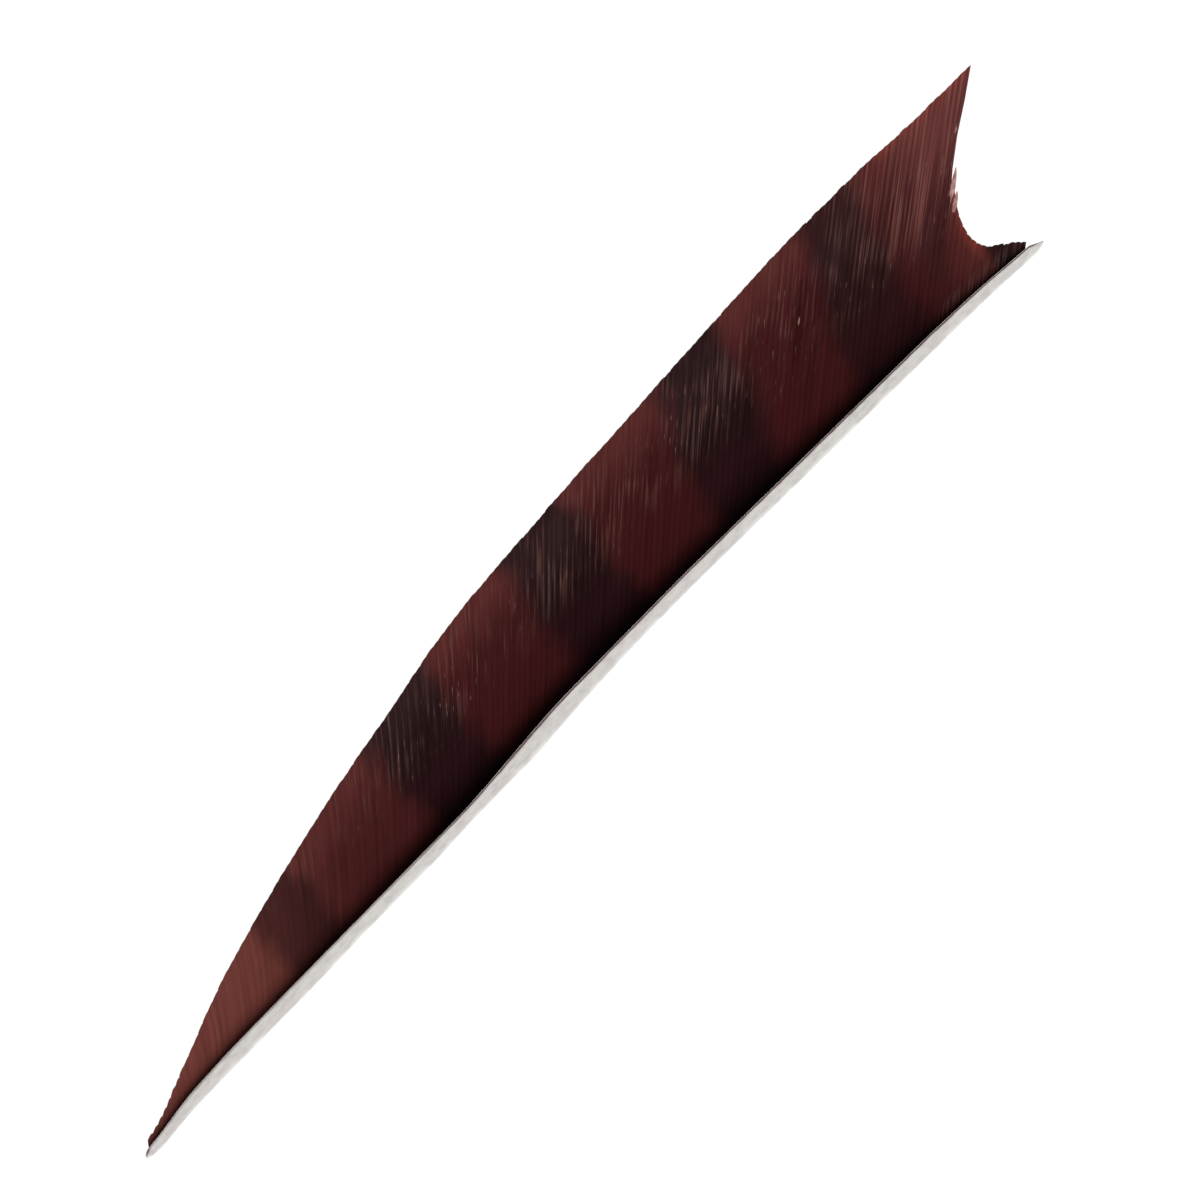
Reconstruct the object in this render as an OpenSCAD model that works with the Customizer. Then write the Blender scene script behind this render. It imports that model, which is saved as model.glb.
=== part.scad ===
// Shield-cut arrow fletching: one half of a wing feather, split along its shaft, ground to a
// flat quill base and die-cut to a tall rear corner with a hollow behind it.
//
// It lies on its side, as it does on a bench. X runs along the base towards the nock, Y runs
// from the glue face up the vane, and Z is up. The origin is the middle of the glue face.

/* [Quill base] */
// Length of the ground quill base
base_length = 101.6; // [70:0.1:130]
// Width of the base across the arrow's shaft
base_width = 2.6; // [2:0.1:3.4]
// Height of the base, from the glue face to the roots of the barbs
base_height = 1.1; // [0.9:0.05:1.5]
// Height that the grinding leaves at each end of the base
end_height = 0.75; // [0.5:0.05:0.9]
// Length over which each end is thinned
end_taper = 13; // [3:0.5:20]
// How far the relaxed base falls away from its crest, before its ends droop
bow_drop = 0.8; // [0.1:0.05:1.6]
// How far the front end of the relaxed base droops below the rest of it
nose_droop = 0.5; // [0:0.05:0.8]
// Length of the drooping front end
nose_length = 6.8; // [4:0.1:10]
// How far the rear end of the relaxed base droops below the rest of it
tail_droop = 0.2; // [0:0.05:0.8]
// Length of the drooping rear end
tail_length = 7; // [4:0.1:10]
// How far the front end is rounded back at its lower edge
nose_low_round = 1.4; // [0:0.1:2]
// How far the front end is rounded back at its top
nose_top_round = 0.5; // [0:0.1:1]
// How far the rear end of the base is cut back at its top
rear_slant = 1.1; // [0.4:0.1:2]
// Thickness of the horny cortex left on the two ground sides
cortex = 0.18; // [0.1:0.01:0.3]
// Thickness of the side wall of the shaft, which carries the barbs
barb_wall = 0.22; // [0.12:0.01:0.4]

/* [Vane outline] */
// Greatest height of the cut above the glue face, with the base held straight
vane_height = 14.4; // [10:0.1:18]
// How far the tall rear corner reaches behind the base
horn_reach = 5.9; // [4:0.1:7]
// Depth of the hollow rear cut, forward from the rear end of the base
shield_depth = 3.75; // [2.5:0.05:5]

/* [Barbs] */
// Spacing of the barbs along the base
barb_pitch = 0.65; // [0.55:0.01:1]
// Gap between the hooked edges of two neighbouring barbs, along the base
barb_gap = 0.03; // [0.02:0.005:0.06]
// Clearance between the root of a barb and the wall that it grows from
root_gap = 0.02; // [0.01:0.005:0.05]
// Angle between the base and the foremost barb, at its root
front_root_angle = 50; // [40:1:60]
// Angle between the base and the foremost barb, at its tip
front_tip_angle = 60; // [45:1:70]
// Angle between the base and the rearmost barb, at its root
rear_root_angle = 37; // [35:0.5:42]
// Angle between the base and the rearmost barb, at its tip
rear_tip_angle = 34.5; // [33:0.5:40]
// Depth of a barb's rib where it leaves the base
rib_depth = 0.3; // [0.2:0.01:0.6]
// Depth of a barb's rib at a full-height tip
rib_tip_depth = 0.1; // [0.07:0.01:0.2]
// Width of a barb's rib, along the base
rib_width = 0.2; // [0.1:0.01:0.3]
// Thickness of the web of barbules on both sides of a rib
web = 0.08; // [0.05:0.01:0.12]

/* [Camber] */
// Depth of the line of roots below the grooved side of the base, at mid-length
root_depth = 1.4; // [0.8:0.05:1.7]
// Depth of the line of roots below the grooved side, at both ends
end_root_depth = 0.5; // [0.4:0.05:1.4]
// Radius of the hollow side of the vane, across the barbs
camber_radius = 24; // [20:0.5:40]
// Slope at which the vane dips from its roots at mid-length
root_dip = 0.31; // [0:0.01:0.31]

/* [Hidden] */
bundle_count = 26;
front_x = -base_length / 2;
rear_x = base_length / 2;
corner_x = rear_x + horn_reach;

// The crest of the bow: a flat stretch of the glue face that holds the origin.
crest_front = -0.006 * base_length;
crest_rear = 0.118 * base_length;
// The bend ahead of the crest, and the slight fall beyond it, as shares of bow_drop.
front_bend = 0.9;
front_fall = 0.1;
// Share of the front that the bend takes.
bend_reach = 0.29;

// The straight-based outline of the cut: [share of the cut's length, share of vane_height].
top_line = [
    [0, 0.09], [0.02, 0.101], [0.05, 0.157], [0.135, 0.386], [0.224, 0.562], [0.313, 0.7],
    [0.4, 0.792], [0.49, 0.843], [0.61, 0.9], [0.79, 0.988], [0.86, 1], [1, 1]
];
// The hollow rear cut: [share of vane_height above the glue face, share of shield_depth].
shield_line = [
    [-0.04, 0], [0.03, 0.3], [0.085, 0.53], [0.155, 0.88], [0.265, 1], [0.4, 0.81],
    [0.58, 0.28], [0.67, -0.04]
];

// How quickly the barbs swing from the front angles to the rear ones.
swing = 1.4;
first_root = 0.35;
last_root = 0.3;
shortest_barb = 0.12;
// Height of one swept step of a barb.
step_height = 2.7;
// A barb lower than this is swept as if it were this high.
least_rise = base_height;
// Rounds of the two searches: for the barb that ends in the corner, and for where the die cuts.
corner_round_count = 4;
cut_round_count = 22;
wall_share = 1 - barb_wall / base_height;
// Share of the dip that is lost at both ends of the base.
dip_loss = 0.7;
front_step_count = 36;
rear_step_count = 24;
nose_step_count = 6;

quill_white = [0.89, 0.87, 0.84];
pith_white = [0.95, 0.94, 0.9];
barb_brown = [0.3, 0.13, 0.12];

function bundle_name(b) = str("barbs_", b < 10 ? "0" : "", b);
function ease(t) = let (s = min(1, max(0, t))) s * s * (3 - 2 * s);

// A smooth curve through knots [place, value]: its slope at a knot is that of its neighbours.
function knot_slope(knots, i) =
    let (a = max(0, i - 1), b = min(len(knots) - 1, i + 1))
    (knots[b][1] - knots[a][1]) / (knots[b][0] - knots[a][0]);
function knot_span(knots, place, i = 0) =
    i >= len(knots) - 2 || place < knots[i + 1][0] ? i : knot_span(knots, place, i + 1);
function through(knots, place) =
    let (
        i = knot_span(knots, place),
        width = knots[i + 1][0] - knots[i][0],
        t = min(1, max(0, (place - knots[i][0]) / width)),
        start = knots[i][1],
        end = knots[i + 1][1],
        leave = knot_slope(knots, i) * width,
        arrive = knot_slope(knots, i + 1) * width
    )
    start * (1 + 2 * t) * (1 - t) * (1 - t) + leave * t * (1 - t) * (1 - t)
    + end * (3 - 2 * t) * t * t - arrive * (1 - t) * t * t;

// Height of the bowed glue face at x. The front falls away in a bend, the rear falls evenly, and
// both ends droop a little more.
function bow(x) =
    x < crest_front
    ? let (d = (crest_front - x) / (crest_front - front_x))
        -bow_drop * (front_bend * ease(d / bend_reach) + front_fall * d)
        - nose_droop * ease((front_x + nose_length - x) / nose_length)
    : -bow_drop * max(0, x - crest_rear) / (rear_x - crest_rear)
        - tail_droop * ease((x - rear_x + tail_length) / tail_length);

// Height of the base above its glue face at x.
function quill_height(x) =
    end_height + (base_height - end_height) * ease(min(x - front_x, rear_x - x) / end_taper);

// Height of the roots, and of the two lines of the die cut, in the bowed feather.
function root_y(x) = bow(x) + quill_height(x) + root_gap;
function top_y(x) = vane_height * through(top_line, (x - front_x) / (corner_x - front_x)) + bow(x);
function shield_x(y) = rear_x - shield_depth * through(shield_line, y / vane_height);

// The barbs swing back along the base. A barb's own angle runs evenly from root to tip.
function swung(front, rear, x) =
    rear + (front - rear) * pow(min(1, max(0, (rear_x - x) / base_length)), swing);
function cotangent(angle) = 1 / tan(angle);
function travel(root, h) =
    let (
        at_root = cotangent(swung(front_root_angle, rear_root_angle, root)),
        at_tip = cotangent(swung(front_tip_angle, rear_tip_angle, root)),
        full = max(least_rise, top_y(root) - root_y(root))
    )
    at_root * h + (at_tip - at_root) * h * h / (2 * full);

// Root of the line along the barbs that ends in the tall corner. The barbs ahead of it reach the
// top of the cut, and every barb behind it meets the hollow cut.
function root_reaching(x, y, rounds) =
    let (guess = rounds < 1 ? x - y : root_reaching(x, y, rounds - 1))
    x - travel(guess, y - root_y(guess));
horn_root = root_reaching(corner_x, top_y(corner_x), corner_round_count);

// Is the point at height h above its root inside the die cut?
function inside(root, h, tall) =
    let (x = root + travel(root, h), y = root_y(root) + h)
    y < top_y(x) && (tall || x < shield_x(y));
function cut_height(root, tall, low = 0, high = 2 * vane_height, rounds = cut_round_count) =
    rounds < 1
    ? low
    : let (middle = (low + high) / 2)
        inside(root, middle, tall)
        ? cut_height(root, tall, middle, high, rounds - 1)
        : cut_height(root, tall, low, middle, rounds - 1);

// The line of roots climbs from mid-length to both ends of the base.
function root_z(x) =
    base_width / 2 - root_depth + (root_depth - end_root_depth) * pow(x / rear_x, 2);

// The cambered sheet that the barbs lie in: it dips from the roots, then rises to the cut edge.
function sheet_z(root, h) =
    root_z(root) - root_dip * (1 - dip_loss * pow(root / rear_x, 2)) * h
    + h * h / (2 * camber_radius);
function on_sheet(root, h) = [root + travel(root, h), root_y(root) + h, sheet_z(root, h)];

// Roots of all barbs, counted from the last one ahead of the horn, whose edge ends in the corner.
tall_root = horn_root - barb_pitch / 2;
tall_count = floor((tall_root - front_x - nose_top_round - first_root) / barb_pitch) + 1;
short_count = floor((rear_x - rear_slant - last_root - tall_root) / barb_pitch);
barb_count = tall_count + short_count;
function barb_root(i) = tall_root + (i + 1 - tall_count) * barb_pitch;
function bundle_start(b) = floor((b - 1) * barb_count / bundle_count);

// The rounded front end of the base at a share of its height: it reaches farthest half-way up.
function nose_x(share) =
    front_x + (share < 0.5 ? nose_low_round : nose_top_round) * pow(2 * share - 1, 2);

// A line along the base at a share of its height, with one straight stretch at the crest.
function base_line(share) =
    let (start = nose_x(share), end = rear_x - rear_slant * share)
    concat(
        [for (i = [0 : front_step_count]) start + (crest_front - start) * i / front_step_count],
        [for (i = [0 : rear_step_count]) crest_rear + (end - crest_rear) * i / rear_step_count]
    );
function on_base(x, share) = [x, bow(x) + share * quill_height(x)];
function along_base(share) = [for (x = base_line(share)) on_base(x, share)];
function round_nose(low_share, high_share) = [
    for (i = [1 : nose_step_count - 1])
        let (share = high_share + (low_share - high_share) * i / nose_step_count)
        on_base(nose_x(share), share)
];
function backwards(list) = [for (i = [len(list) - 1 : -1 : 0]) list[i]];

// A slice of the base between two shares of its height, from one Z to another.
module base_slice(low_share, high_share, low_z, high_z) {
    low_line = along_base(low_share);
    high_line = along_base(high_share);
    translate([0, 0, low_z])
        linear_extrude(height = high_z - low_z)
            polygon(concat(low_line, backwards(high_line), round_nose(low_share, high_share)));
}

// Soft pith inside the shaft. Its lower edge is the ground face that takes the glue.
module pith_core() {
    color(pith_white)
        base_slice(0, wall_share, -base_width / 2 + cortex, base_width / 2 - cortex);
}

// Ground cortex of the shaft's outer side, which the feather lies on.
module dorsal_cortex() {
    color(quill_white)
        base_slice(0, 1, -base_width / 2, -base_width / 2 + cortex);
}

// Ground cortex of the shaft's grooved side, which faces up.
module ventral_cortex() {
    color(quill_white)
        base_slice(0, 1, base_width / 2 - cortex, base_width / 2);
}

// Side wall of the shaft, from which every barb grows.
module barb_wall() {
    color(quill_white)
        base_slice(wall_share, 1, -base_width / 2 + cortex, base_width / 2 - cortex);
}

// Cross-section of a barb as [along the base, up]: a web of barbules under one raised rib.
function barb_section(half, depth, rib) = [
    [-half, -web / 2], [-half, web / 2], [-rib, web / 2], [0, depth],
    [rib, web / 2], [half, web / 2], [half, -web / 2]
];
corners = len(barb_section(1, 1, 0.5));
// The same section in triangles: the rib, and the web below it and at both sides.
section_triangles = [[2, 3, 4], [0, 1, 2], [0, 2, 4], [0, 4, 6], [4, 5, 6]];

// One ring of a barb, at a share of the way from its root to the die cut.
function barb_ring(root, tall, share) =
    let (
        worn = min(1, share * cut_height(root, tall) / vane_height),
        depth = rib_depth + (rib_tip_depth - rib_depth) * sqrt(worn),
        section = barb_section((barb_pitch - barb_gap) / 2, depth, rib_width * (1 - worn / 2) / 2)
    )
    [for (p = section)
        let (foot = root + p[0])
        on_sheet(foot, share * cut_height(foot, tall)) + [0, 0, p[1]]];

// One barb, swept from its root to the die cut, which trims every corner of its section.
module barb(root, tall) {
    steps = max(2, ceil(cut_height(root, tall) / step_height));
    rings = [for (i = [0 : steps]) each barb_ring(root, tall, i / steps)];
    sides = [
        for (i = [0 : steps - 1], j = [0 : corners - 1])
            let (a = i * corners + j, b = i * corners + (j + 1) % corners)
            each [[a, b, b + corners], [a, b + corners, a + corners]]
    ];
    root_end = [for (t = section_triangles) backwards(t)];
    cut_end = [for (t = section_triangles) [for (j = t) steps * corners + j]];
    polyhedron(points = rings, faces = concat(root_end, sides, cut_end));
}

// A run of neighbouring barbs. Those too short to stand clear of the base are ground off.
module barb_bundle(b) {
    half = barb_pitch / 2;
    color(barb_brown)
        for (i = [bundle_start(b) : bundle_start(b + 1) - 1])
            let (root = barb_root(i), tall = i < tall_count)
            if (min(cut_height(root - half, tall), cut_height(root + half, tall)) > shortest_barb)
                barb(root, tall);
}

pith_core();
dorsal_cortex();
ventral_cortex();
barb_wall();
for (b = [1 : bundle_count])
    barb_bundle(b);
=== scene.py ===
# %% [markdown]
# # A barred, shield-cut arrow feather
#
# An arrow's fletching is one half of a turkey's wing feather. The shaft is split and ground to a
# slim base, and a die stamps the barbs to a tall rear corner with a hollow behind it. This one is
# dyed mahogany over its natural dark bars, and it lies on its side with the hollow side up.
#
# The solids come from CAD and stay as they are. This lesson dresses them: finer barbs and finer
# strips of horn take the place of the plain ones, in the same frame, in metres.

# %% Load the fixed frame
import math
import random

import bmesh
import bpy
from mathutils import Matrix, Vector, noise


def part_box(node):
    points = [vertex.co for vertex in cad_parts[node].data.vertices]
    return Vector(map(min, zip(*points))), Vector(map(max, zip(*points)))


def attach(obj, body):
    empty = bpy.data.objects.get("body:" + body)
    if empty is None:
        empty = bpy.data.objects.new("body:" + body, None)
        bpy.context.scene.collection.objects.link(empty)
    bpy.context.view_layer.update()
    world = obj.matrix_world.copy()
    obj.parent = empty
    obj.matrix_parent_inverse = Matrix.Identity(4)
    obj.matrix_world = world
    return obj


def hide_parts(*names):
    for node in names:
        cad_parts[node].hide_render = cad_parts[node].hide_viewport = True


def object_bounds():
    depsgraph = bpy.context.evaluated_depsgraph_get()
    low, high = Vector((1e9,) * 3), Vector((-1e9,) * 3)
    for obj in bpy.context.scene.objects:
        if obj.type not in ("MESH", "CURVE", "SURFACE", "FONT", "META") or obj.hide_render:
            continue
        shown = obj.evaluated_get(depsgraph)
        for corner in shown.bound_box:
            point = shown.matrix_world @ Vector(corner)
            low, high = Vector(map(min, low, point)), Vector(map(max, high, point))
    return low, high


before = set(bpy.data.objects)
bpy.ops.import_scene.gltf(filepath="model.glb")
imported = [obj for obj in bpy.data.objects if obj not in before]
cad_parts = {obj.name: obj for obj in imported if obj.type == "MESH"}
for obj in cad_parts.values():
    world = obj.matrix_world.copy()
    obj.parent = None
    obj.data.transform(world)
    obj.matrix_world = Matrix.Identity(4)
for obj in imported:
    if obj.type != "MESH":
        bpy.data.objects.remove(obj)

cad_box = [list(corner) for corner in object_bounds()]
print("solids:", len(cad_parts), "box in metres:", cad_box)

# %% [markdown]
# ## Measures of the quill base
#
# Every later piece sits on the base, so its measures are read once from the frame's own solids.
# They are turned into millimetres, because a feather is measured in those, and go back to metres
# only where a vertex is placed.

# %% Read the base
MM = 0.001
strip_low, strip_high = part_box("ventral_cortex")
core_low, core_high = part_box("pith_core")
FRONT = strip_low.x / MM
REAR = strip_high.x / MM
LENGTH = REAR - FRONT
BASE_HEIGHT = strip_high.y / MM
HALF_WIDTH = strip_high.z / MM
SKIN = (strip_high.z - strip_low.z) / MM
WALL_SHARE = core_high.y / strip_high.y
# The grinding leaves both ends thinner than the middle.
NOSE_HEIGHT, TAIL_HEIGHT = 0.75, 0.83
END_TAPER = 13
REAR_SLANT = 1.1
# The bow: how far the base falls from its crest, and where its bends and droops lie.
BOW_DROP = 0.8
CREST_FRONT = -0.006 * LENGTH
CREST_REAR = 0.118 * LENGTH
FRONT_BEND = 0.9
FRONT_FALL = 0.1
BEND_REACH = 0.29
NOSE_DROOP = 0.5
NOSE_LENGTH = 6.8
TAIL_DROOP = 0.2
TAIL_LENGTH = 7
# The rounding of the ends, below and above the place where each reaches farthest.
NOSE_LOW_ROUND = 1.4
NOSE_TOP_ROUND = 0.5
TAIL_LOW_ROUND = 1.0
TAIL_TIP_SHARE = 0.42
print("base:", round(LENGTH, 1), "x", round(BASE_HEIGHT, 2), "x", round(2 * HALF_WIDTH, 2), "mm")

# %% [markdown]
# ## The bow of the base
#
# A relaxed base isn't straight. It has a short flat crest, its front falls away in a bend, its
# rear falls evenly, and both ends droop a little more. These functions give the height of the glue
# face and of the base at any place along it. They could be one curve drawn by hand, but as
# functions every piece can ask them.


# %% Shape of the base
def ease(t):
    """A share that starts and ends gently."""
    s = min(1, max(0, t))
    return s * s * (3 - 2 * s)


def bow(x):
    """Height of the glue face at x."""
    if x < CREST_FRONT:
        d = (CREST_FRONT - x) / (CREST_FRONT - FRONT)
        droop = NOSE_DROOP * ease((FRONT + NOSE_LENGTH - x) / NOSE_LENGTH)
        return -BOW_DROP * (FRONT_BEND * ease(d / BEND_REACH) + FRONT_FALL * d) - droop
    droop = TAIL_DROOP * ease((x - REAR + TAIL_LENGTH) / TAIL_LENGTH)
    return -BOW_DROP * max(0, x - CREST_REAR) / (REAR - CREST_REAR) - droop


def quill_height(x):
    """Height of the base above its glue face: the grinding thins both ends."""
    end_height = NOSE_HEIGHT if x < 0 else TAIL_HEIGHT
    return end_height + (BASE_HEIGHT - end_height) * ease(min(x - FRONT, REAR - x) / END_TAPER)


def nose_x(share):
    """Front end of the base at a share of its height: it reaches farthest half-way up."""
    return FRONT + (NOSE_LOW_ROUND if share < 0.5 else NOSE_TOP_ROUND) * (2 * share - 1) ** 2


def tail_x(share):
    """Rear end of the base at a share of its height: cut obliquely, with a worn lower corner."""
    over = max(0, (share - TAIL_TIP_SHARE) / (1 - TAIL_TIP_SHARE))
    return REAR - REAR_SLANT * over - TAIL_LOW_ROUND * max(0, 1 - share / TAIL_TIP_SHARE) ** 2


print("glue face at front, crest and rear:", [round(bow(x), 2) for x in (FRONT, 0, REAR)])

# %% [markdown]
# ## The line of the die
#
# A die stamps the outline: a long rising front, a nearly level top, a tall corner and a hollow
# rear. Both lines are smooth curves through a few knots. A Bezier curve would do as well, but a
# barb has to ask how high the cut is at its own place, and a function answers that.

# %% Knots of the die and the curve through them
VANE_HEIGHT = 14.4
HORN_REACH = 5.9
SHIELD_DEPTH = 3.75
CORNER = REAR + HORN_REACH
TOP_LINE = [
    (0, 0.09), (0.02, 0.101), (0.05, 0.157), (0.135, 0.386), (0.224, 0.562), (0.313, 0.7),
    (0.4, 0.792), (0.49, 0.843), (0.61, 0.9), (0.79, 0.988), (0.86, 1), (1, 1),
]
SHIELD_LINE = [
    (-0.04, 0), (0.03, 0.3), (0.085, 0.53), (0.155, 0.88), (0.265, 1), (0.4, 0.81),
    (0.58, 0.28), (0.67, -0.04),
]


def knot_slope(knots, i):
    """Slope at a knot: that of the line between its two neighbours."""
    a, b = knots[max(0, i - 1)], knots[min(len(knots) - 1, i + 1)]
    return (b[1] - a[1]) / (b[0] - a[0])


def through(knots, place):
    """Value at a place on the smooth curve through the knots."""
    i = 0
    while i < len(knots) - 2 and place >= knots[i + 1][0]:
        i += 1
    width = knots[i + 1][0] - knots[i][0]
    t = min(1, max(0, (place - knots[i][0]) / width))
    leave, arrive = knot_slope(knots, i) * width, knot_slope(knots, i + 1) * width
    near = knots[i][1] * (1 + 2 * t) * (1 - t) ** 2 + leave * t * (1 - t) ** 2
    return near + knots[i + 1][1] * (3 - 2 * t) * t * t - arrive * (1 - t) * t * t


def top_y(x):
    """Height of the die's top line."""
    return VANE_HEIGHT * through(TOP_LINE, (x - FRONT) / (CORNER - FRONT)) + bow(x)


def shield_x(y):
    """Place of the hollow rear cut at height y."""
    return REAR - SHIELD_DEPTH * through(SHIELD_LINE, y / VANE_HEIGHT)


print("top of the cut at mid-length:", round(top_y(0), 2), "mm; corner:", round(CORNER, 1), "mm")

# %% [markdown]
# ## How a barb leans and where it ends
#
# A barb leaves the shaft at an angle and swings towards the nock. At the front it stands steeper
# and curves up, at the rear it lies low. The die cuts each barb where its own line meets the top
# line or the hollow, found here by halving the interval until it is finer than a hair.

# %% Lean and cut of a barb
PITCH = 0.65
ROOT_GAP = 0.02
ROOT_ANGLES = (50, 37)
TIP_ANGLES = (60, 34.5)
SWING = 1.4
REACH_ROUNDS = 4
CUT_ROUNDS = 22


def root_y(x):
    """Height of the line that the barbs grow from."""
    return bow(x) + quill_height(x) + ROOT_GAP


def cotangent(angles, x):
    """How far a barb rooted at x runs back for each millimetre that it rises."""
    back = min(1, max(0, (REAR - x) / LENGTH)) ** SWING
    return 1 / math.tan(math.radians(angles[1] + (angles[0] - angles[1]) * back))


def travel(root, h):
    """How far back a barb has run at height h above its root."""
    low, high = cotangent(ROOT_ANGLES, root), cotangent(TIP_ANGLES, root)
    full = max(BASE_HEIGHT, top_y(root) - root_y(root))
    return low * h + (high - low) * h * h / (2 * full)


def root_reaching(x, y):
    """Root of the line along the barbs that passes through x, y."""
    guess = x - y
    for _ in range(REACH_ROUNDS):
        guess = x - travel(guess, y - root_y(guess))
    return guess


def cut_height(root, tall):
    """Height above its root at which the die cuts a barb. A tall barb clears the hollow."""
    low, high = 0, 2 * VANE_HEIGHT
    for _ in range(CUT_ROUNDS):
        h = (low + high) / 2
        x, y = root + travel(root, h), root_y(root) + h
        kept = y < top_y(x) and (tall or x < shield_x(y))
        low, high = (h, high) if kept else (low, h)
    return low


horn_root = root_reaching(CORNER, top_y(CORNER))
print("the corner's barb grows at", round(horn_root, 2), "mm and is cut at",
      round(cut_height(horn_root - 0.1, True), 2), "mm")

# %% [markdown]
# ## The cambered sheet
#
# The barbs lie in one sheet. Its line of roots lies deepest at mid-length and climbs to both ends.
# The sheet dips from the shaft and then curls up, which makes the upper side hollow. Real vanes
# also ripple a little, and neighbouring barbs draw together in tufts. Perlin noise gives both, with
# a fixed pattern, so the feather is the same each time. One old crease runs along the barbs. Where
# the belly of the vane would sink into the table, it is eased flat on it, as a light feather rests.

# %% Camber, ripple and tufts
ROOT_DEPTH, END_ROOT_DEPTH = 1.4, 0.5
CAMBER_RADIUS = 24
ROOT_DIP = 0.31
DIP_LOSS = 0.7
# Ripples and tufts: how large they are, and how fine along the base and up the barbs.
RIPPLE, RIPPLE_GRAIN = 0.09, (0.16, 0.22)
TUFT_SWAY, TUFT_GRAIN = 0.16, (0.33, 0.05)
RIPPLE_LAYER, TUFT_LAYER = 3.1, 8.7
# Ripples grow to full size over the first millimetres, tufts over a share of the vane's height.
RIPPLE_GROWTH, TUFT_GROWTH = 5, 1 / 1.3
# The lowest level that the middle of a barb can have, just above the face that the base lies on.
BELLY_LEVEL = cad_box[0][2] / MM + 0.07
BELLY_ROUNDING = 0.09
# The crease: its place along the base, and the heights between which it shows.
CREASE_ROOT = 22.6
CREASE_DEPTH = 0.16
CREASE_WIDTH = 0.7
CREASE_START, CREASE_END = 4.5, VANE_HEIGHT - 2
CREASE_FADE = 3


def sheet_z(root, h):
    """Height of the sheet above the middle of the base, at height h along the barbs."""
    outward = (root / REAR) ** 2
    root_z = HALF_WIDTH - ROOT_DEPTH + (ROOT_DEPTH - END_ROOT_DEPTH) * outward
    dip = ROOT_DIP * (1 - DIP_LOSS * outward) * h
    curl = h * h / (2 * CAMBER_RADIUS)
    place = Vector((root * RIPPLE_GRAIN[0], h * RIPPLE_GRAIN[1], RIPPLE_LAYER))
    ripple = RIPPLE * noise.noise(place) * ease(h / RIPPLE_GROWTH)
    crease = CREASE_DEPTH * math.exp(-((root - CREASE_ROOT) / CREASE_WIDTH) ** 2)
    crease *= ease((h - CREASE_START) / CREASE_FADE)
    crease *= ease((CREASE_END - h) / CREASE_FADE)
    free = root_z - dip + curl + ripple - crease - BELLY_LEVEL
    # The larger of the free level and the belly's, with a rounded turn between them.
    return BELLY_LEVEL + (free + math.hypot(free, BELLY_ROUNDING)) / 2


def tuft_sway(root, h):
    """How far a tuft leans out of the even lay of the barbs."""
    lean = noise.noise(Vector((root * TUFT_GRAIN[0], h * TUFT_GRAIN[1], TUFT_LAYER)))
    return TUFT_SWAY * lean * ease(h / (TUFT_GROWTH * VANE_HEIGHT))


print("sheet at mid-length, root to cut:", [round(sheet_z(0, h), 2) for h in (0, 6, 12)])

# %% [markdown]
# ## One barb, straight
#
# A barb is a narrow rib with a web of hooked barbules on both sides. Its section is a flat web with
# a rounded rib on top. A few vertices make one face, and extruding that face step by step makes a
# straight bar, whose rings can then be laid on the sheet. A curve with a bevel object would also
# sweep it, but then each ring could not be trimmed to the die.

# %% Straight barb by extrusion
SECTION = [
    (-1, -0.5), (-1, 0.3), (-0.26, 0.48), (-0.16, 0.5), (-0.06, 0.5), (0.06, 0.5),
    (0.16, 0.5), (0.26, 0.48), (1, 0.3), (1, -0.5), (0, -0.5),
]
STEP_HEIGHT = 1.6


def straight_barb(bm, steps):
    """Extrude the section into a bar one unit long, and give its vertices."""
    ring = [bm.verts.new((across, 0, level)) for across, level in SECTION]
    end, verts = bm.faces.new(ring), list(ring)
    for _ in range(steps):
        made = bmesh.ops.extrude_face_region(bm, geom=[end])["geom"]
        ring = [part for part in made if isinstance(part, bmesh.types.BMVert)]
        end = next(part for part in made if isinstance(part, bmesh.types.BMFace))
        bmesh.ops.translate(bm, verts=ring, vec=(0, 1 / steps, 0))
        verts += ring
    bmesh.ops.recalc_face_normals(bm, faces=list({f for v in verts for f in v.link_faces}))
    return verts


print("corners of a barb's section:", len(SECTION))

# %% [markdown]
# ## A barb on the sheet
#
# Each barb has its own nature: a slight roll, a little lift, and an end that the die caught a
# little short. The barbs near the nose end in small teeth. The last tall barb has no neighbour to
# hook on, and its web is worn there. Laying a barb down moves every vertex of the straight bar to
# its place. Three numbers go along for the finish: how near the rib a point is, how near the cut,
# and the barb's own shade. The UV map keeps the lay of the barbs: U runs along the base and V up
# the barbs.

# %% Measures of a barb
WEB = 0.07
RIB_DEPTH, RIB_TIP_DEPTH = 0.012, 0.026
RIB_SPREAD = 0.16
SHINGLE = 0.012
OVERLAP = 0.03
# Beyond this share of the half width, the section's corners are the web's own edge.
WEB_EDGE = 0.9
# The die's cut is measured just inside a barb's own half of the pitch.
DIE_REACH = PITCH / 2 - 0.015
END_NOTCH, NOTCH_FADE = 0.035, 8
FRONT_TEETH = 2.0
TEETH_START, TEETH_FULL = -44.5, -46.5
EDGE_WEAR = 0.36
WEAR_START, WEAR_FULL, WEAR_FADES, WEAR_END = 6.8, 8.4, 9, 12
NARROWEST_REACH = 0.02
LIFT_GROWTH = 3
LAY_LENGTH = 110
LAY_HEIGHT = 20
print("web", WEB, "mm thick, rib", RIB_DEPTH, "to", RIB_TIP_DEPTH, "mm deep")


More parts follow.
